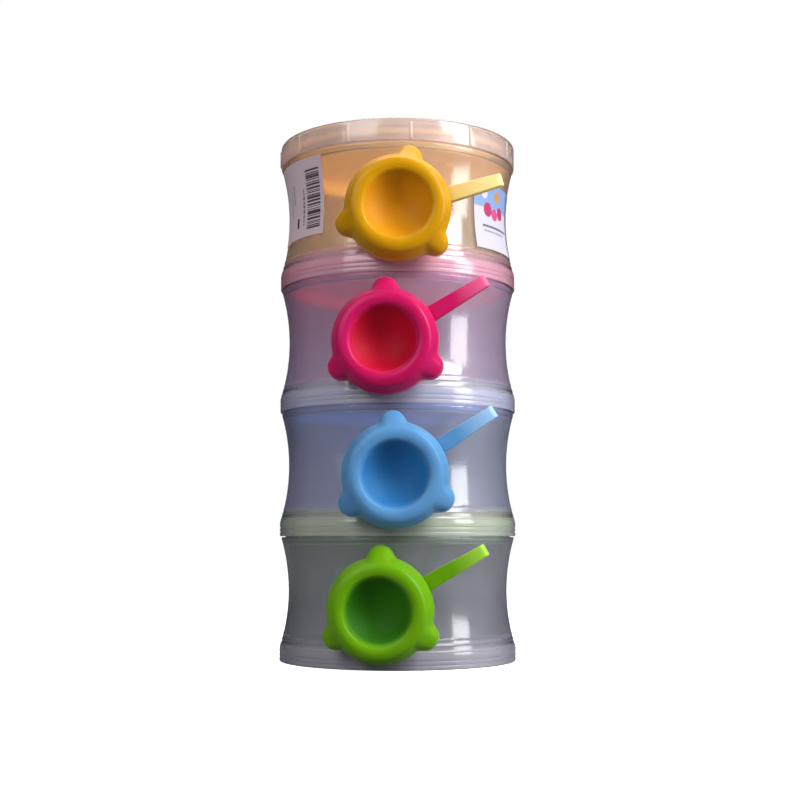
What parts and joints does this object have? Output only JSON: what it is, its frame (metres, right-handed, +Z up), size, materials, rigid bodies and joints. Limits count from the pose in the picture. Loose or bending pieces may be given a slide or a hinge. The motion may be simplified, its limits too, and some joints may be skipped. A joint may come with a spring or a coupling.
{
  "type": "formula dispenser",
  "caption": "Stack of clear powder cups, each with a coloured inner lid and a side spout closed by a tethered cap, under a clear top lid.",
  "frame": {"origin": "centre of the open socket under the lowest cup, at its rim, on the surface the stack stands on", "axes": "+Z up along the stack's axis; the spouts face -Y; +X is to the right seen from the spout side"},
  "size_m": [0.0912, 0.1049, 0.1984],
  "materials": {
    "clear_cup": "clear moulded polypropylene",
    "clear_lid": "clear moulded polypropylene",
    "green_soft": "soft moulded polyethylene, satin",
    "green_lid": "tinted translucent polypropylene",
    "blue_soft": "soft moulded polyethylene, satin",
    "blue_lid": "tinted translucent polypropylene",
    "pink_soft": "soft moulded polyethylene, satin",
    "pink_lid": "tinted translucent polypropylene",
    "yellow_soft": "soft moulded polyethylene, satin",
    "yellow_lid": "tinted translucent polypropylene",
    "paper_label": "printed paper sticker",
    "film_label": "printed film sticker"
  },
  "bodies": {
    "green_cup": {"green_tier_cup": "clear_cup"},
    "green_inner_lid": {"green_inner_lid": "green_lid"},
    "green_collar": {"green_strap_collar": "green_soft", "green_cap_strap": "green_soft"},
    "green_cap": {"green_spout_cap": "green_soft"},
    "blue_cup": {"blue_tier_cup": "clear_cup"},
    "blue_inner_lid": {"blue_inner_lid": "blue_lid"},
    "blue_collar": {"blue_strap_collar": "blue_soft", "blue_cap_strap": "blue_soft"},
    "blue_cap": {"blue_spout_cap": "blue_soft"},
    "pink_cup": {"pink_tier_cup": "clear_cup"},
    "pink_inner_lid": {"pink_inner_lid": "pink_lid"},
    "pink_collar": {"pink_strap_collar": "pink_soft", "pink_cap_strap": "pink_soft"},
    "pink_cap": {"pink_spout_cap": "pink_soft"},
    "yellow_cup": {"yellow_tier_cup": "clear_cup", "left_label": "paper_label", "right_label": "film_label"},
    "yellow_inner_lid": {"yellow_inner_lid": "yellow_lid"},
    "yellow_collar": {"yellow_strap_collar": "yellow_soft", "yellow_cap_strap": "yellow_soft"},
    "yellow_cap": {"yellow_spout_cap": "yellow_soft"},
    "top_lid": {"top_lid": "clear_lid"}
  },
  "joints": [
    {"name": "green_collar_swivel", "type": "hinge", "parent": "green_cup", "child": "green_collar", "pos_m": [-0.00561, -0.04566, 0.0215], "axis": [-0.1219, -0.9925, 0], "range_deg": [-53, 4]},
    {"name": "green_cap_pull", "type": "slide", "parent": "green_collar", "child": "green_cap", "axis": [-0.1219, -0.9925, 0], "range_m": [0, 0.014]},
    {"name": "green_lid_lift", "type": "slide", "parent": "green_cup", "child": "green_inner_lid", "axis": [0, 0, 1], "range_m": [0, 0.025]},
    {"name": "blue_cup_turn", "type": "hinge", "parent": "green_inner_lid", "child": "blue_cup", "pos_m": [0, 0, 0.0475], "axis": [0, 0, 1], "continuous": true},
    {"name": "blue_collar_swivel", "type": "hinge", "parent": "blue_cup", "child": "blue_collar", "pos_m": [-0.0008, -0.04599, 0.069], "axis": [-0.0175, -0.9998, 0], "range_deg": [-56, 1]},
    {"name": "blue_cap_pull", "type": "slide", "parent": "blue_collar", "child": "blue_cap", "axis": [-0.0175, -0.9998, 0], "range_m": [0, 0.014]},
    {"name": "blue_lid_lift", "type": "slide", "parent": "blue_cup", "child": "blue_inner_lid", "axis": [0, 0, 1], "range_m": [0, 0.025]},
    {"name": "pink_cup_turn", "type": "hinge", "parent": "blue_inner_lid", "child": "pink_cup", "pos_m": [0, 0, 0.095], "axis": [0, 0, 1], "continuous": true},
    {"name": "pink_collar_swivel", "type": "hinge", "parent": "pink_cup", "child": "pink_collar", "pos_m": [-0.00401, -0.04582, 0.1165], "axis": [-0.0872, -0.9962, 0], "range_deg": [-54, 3]},
    {"name": "pink_cap_pull", "type": "slide", "parent": "pink_collar", "child": "pink_cap", "axis": [-0.0872, -0.9962, 0], "range_m": [0, 0.014]},
    {"name": "pink_lid_lift", "type": "slide", "parent": "pink_cup", "child": "pink_inner_lid", "axis": [0, 0, 1], "range_m": [0, 0.025]},
    {"name": "yellow_cup_turn", "type": "hinge", "parent": "pink_inner_lid", "child": "yellow_cup", "pos_m": [0, 0, 0.1425], "axis": [0, 0, 1], "continuous": true},
    {"name": "yellow_collar_swivel", "type": "hinge", "parent": "yellow_cup", "child": "yellow_collar", "pos_m": [0, -0.046, 0.164], "axis": [0, -1, 0], "range_deg": [-40, 18]},
    {"name": "yellow_cap_pull", "type": "slide", "parent": "yellow_collar", "child": "yellow_cap", "axis": [0, -1, 0], "range_m": [0, 0.014]},
    {"name": "yellow_lid_lift", "type": "slide", "parent": "yellow_cup", "child": "yellow_inner_lid", "axis": [0, 0, 1], "range_m": [0, 0.025]},
    {"name": "top_lid_turn", "type": "hinge", "parent": "yellow_inner_lid", "child": "top_lid", "pos_m": [0, 0, 0.19], "axis": [0, 0, 1], "continuous": true}
  ]
}
